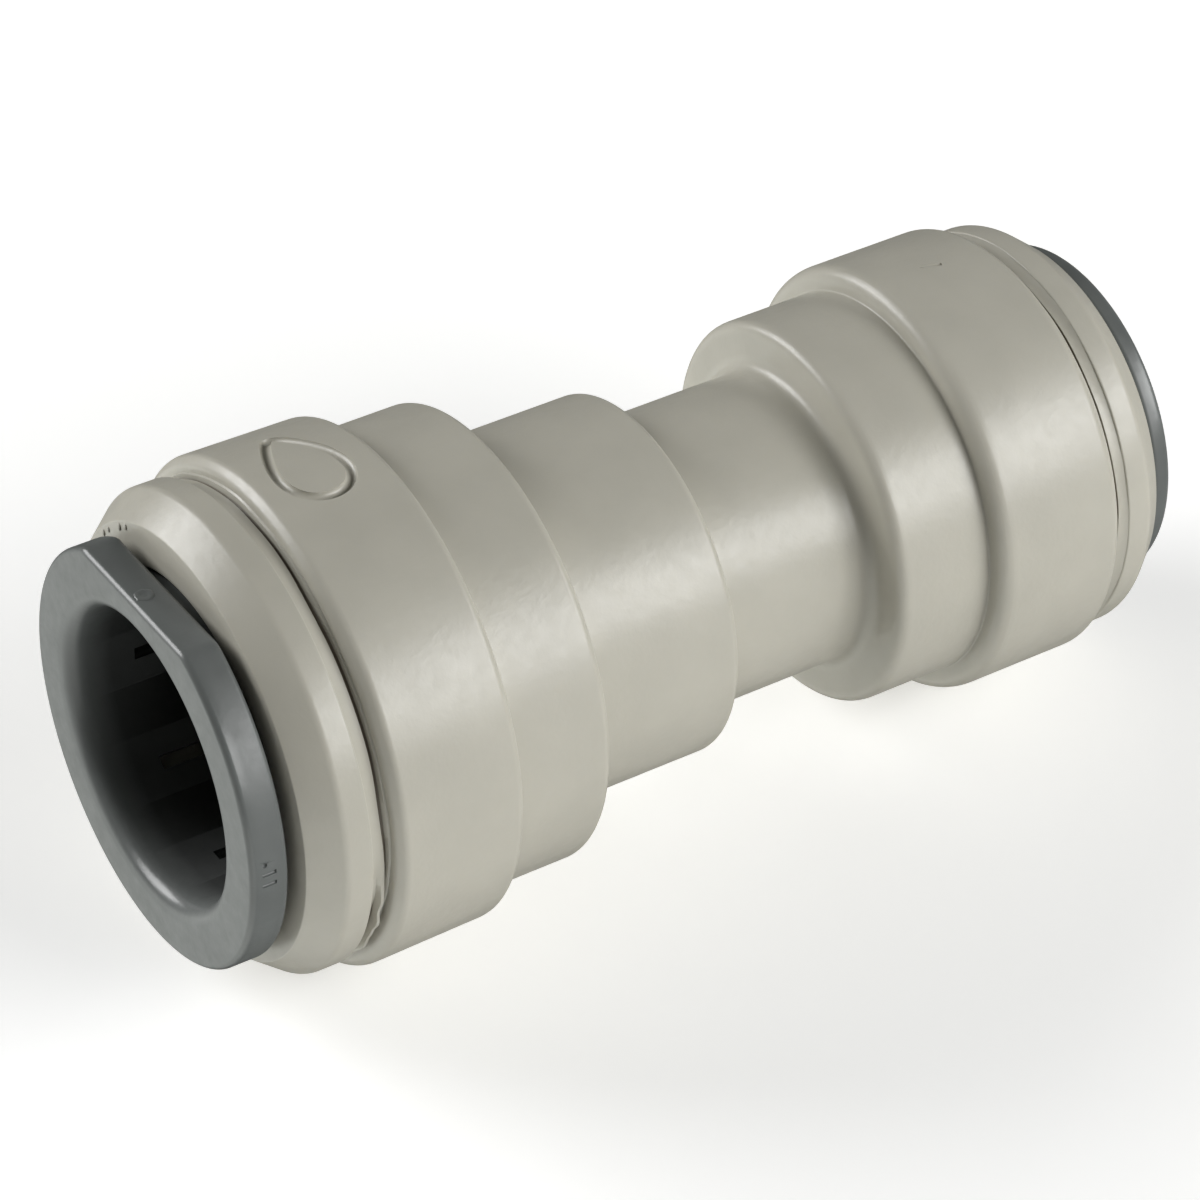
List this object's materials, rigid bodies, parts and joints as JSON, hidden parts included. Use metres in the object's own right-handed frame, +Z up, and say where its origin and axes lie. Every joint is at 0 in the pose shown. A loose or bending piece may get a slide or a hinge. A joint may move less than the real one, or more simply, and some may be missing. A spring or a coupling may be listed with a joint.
{
  "type": "push fit coupling",
  "caption": "Straight push fit reducing coupling: a stepped plastic body with a sliding grip collet, welded end cap, washer and O-ring in each pipe socket.",
  "frame": {"origin": "on the pipe axis, midway between the two collets' outer faces", "axes": "+X runs along the pipe axis from the large socket to the small socket; +Z is up with the coupling lying on its side and the large collet's flat facing up; +Y completes a right-handed frame"},
  "size_m": [0.0552, 0.0264, 0.0264],
  "materials": {
    "body_acetal": "satin moulded acetal, light warm grey",
    "collet_acetal": "satin moulded acetal, dark cool grey",
    "washer_acetal": "plain moulded acetal, off-white",
    "seal_rubber": "black EPDM",
    "stainless_steel": "bright sheared stainless steel"
  },
  "bodies": {
    "body": {"body": "body_acetal", "large_end_cap": "body_acetal", "small_end_cap": "body_acetal", "large_seal_washer": "washer_acetal", "small_seal_washer": "washer_acetal", "large_o_ring": "seal_rubber", "small_o_ring": "seal_rubber"},
    "large_collet": {"large_collet": "collet_acetal", "large_grip_tooth_1": "stainless_steel", "large_grip_tooth_2": "stainless_steel", "large_grip_tooth_3": "stainless_steel", "large_grip_tooth_4": "stainless_steel", "large_grip_tooth_5": "stainless_steel", "large_grip_tooth_6": "stainless_steel", "large_grip_tooth_7": "stainless_steel", "large_grip_tooth_8": "stainless_steel"},
    "small_collet": {"small_collet": "collet_acetal", "small_grip_tooth_1": "stainless_steel", "small_grip_tooth_2": "stainless_steel", "small_grip_tooth_3": "stainless_steel", "small_grip_tooth_4": "stainless_steel", "small_grip_tooth_5": "stainless_steel", "small_grip_tooth_6": "stainless_steel"}
  },
  "joints": [
    {"name": "large_collet_slide", "type": "slide", "parent": "body", "child": "large_collet", "axis": [-1, 0, 0], "range_m": [-0.00055, 0.0015]},
    {"name": "small_collet_slide", "type": "slide", "parent": "body", "child": "small_collet", "axis": [1, 0, 0], "range_m": [-0.00035, 0.0015]}
  ]
}
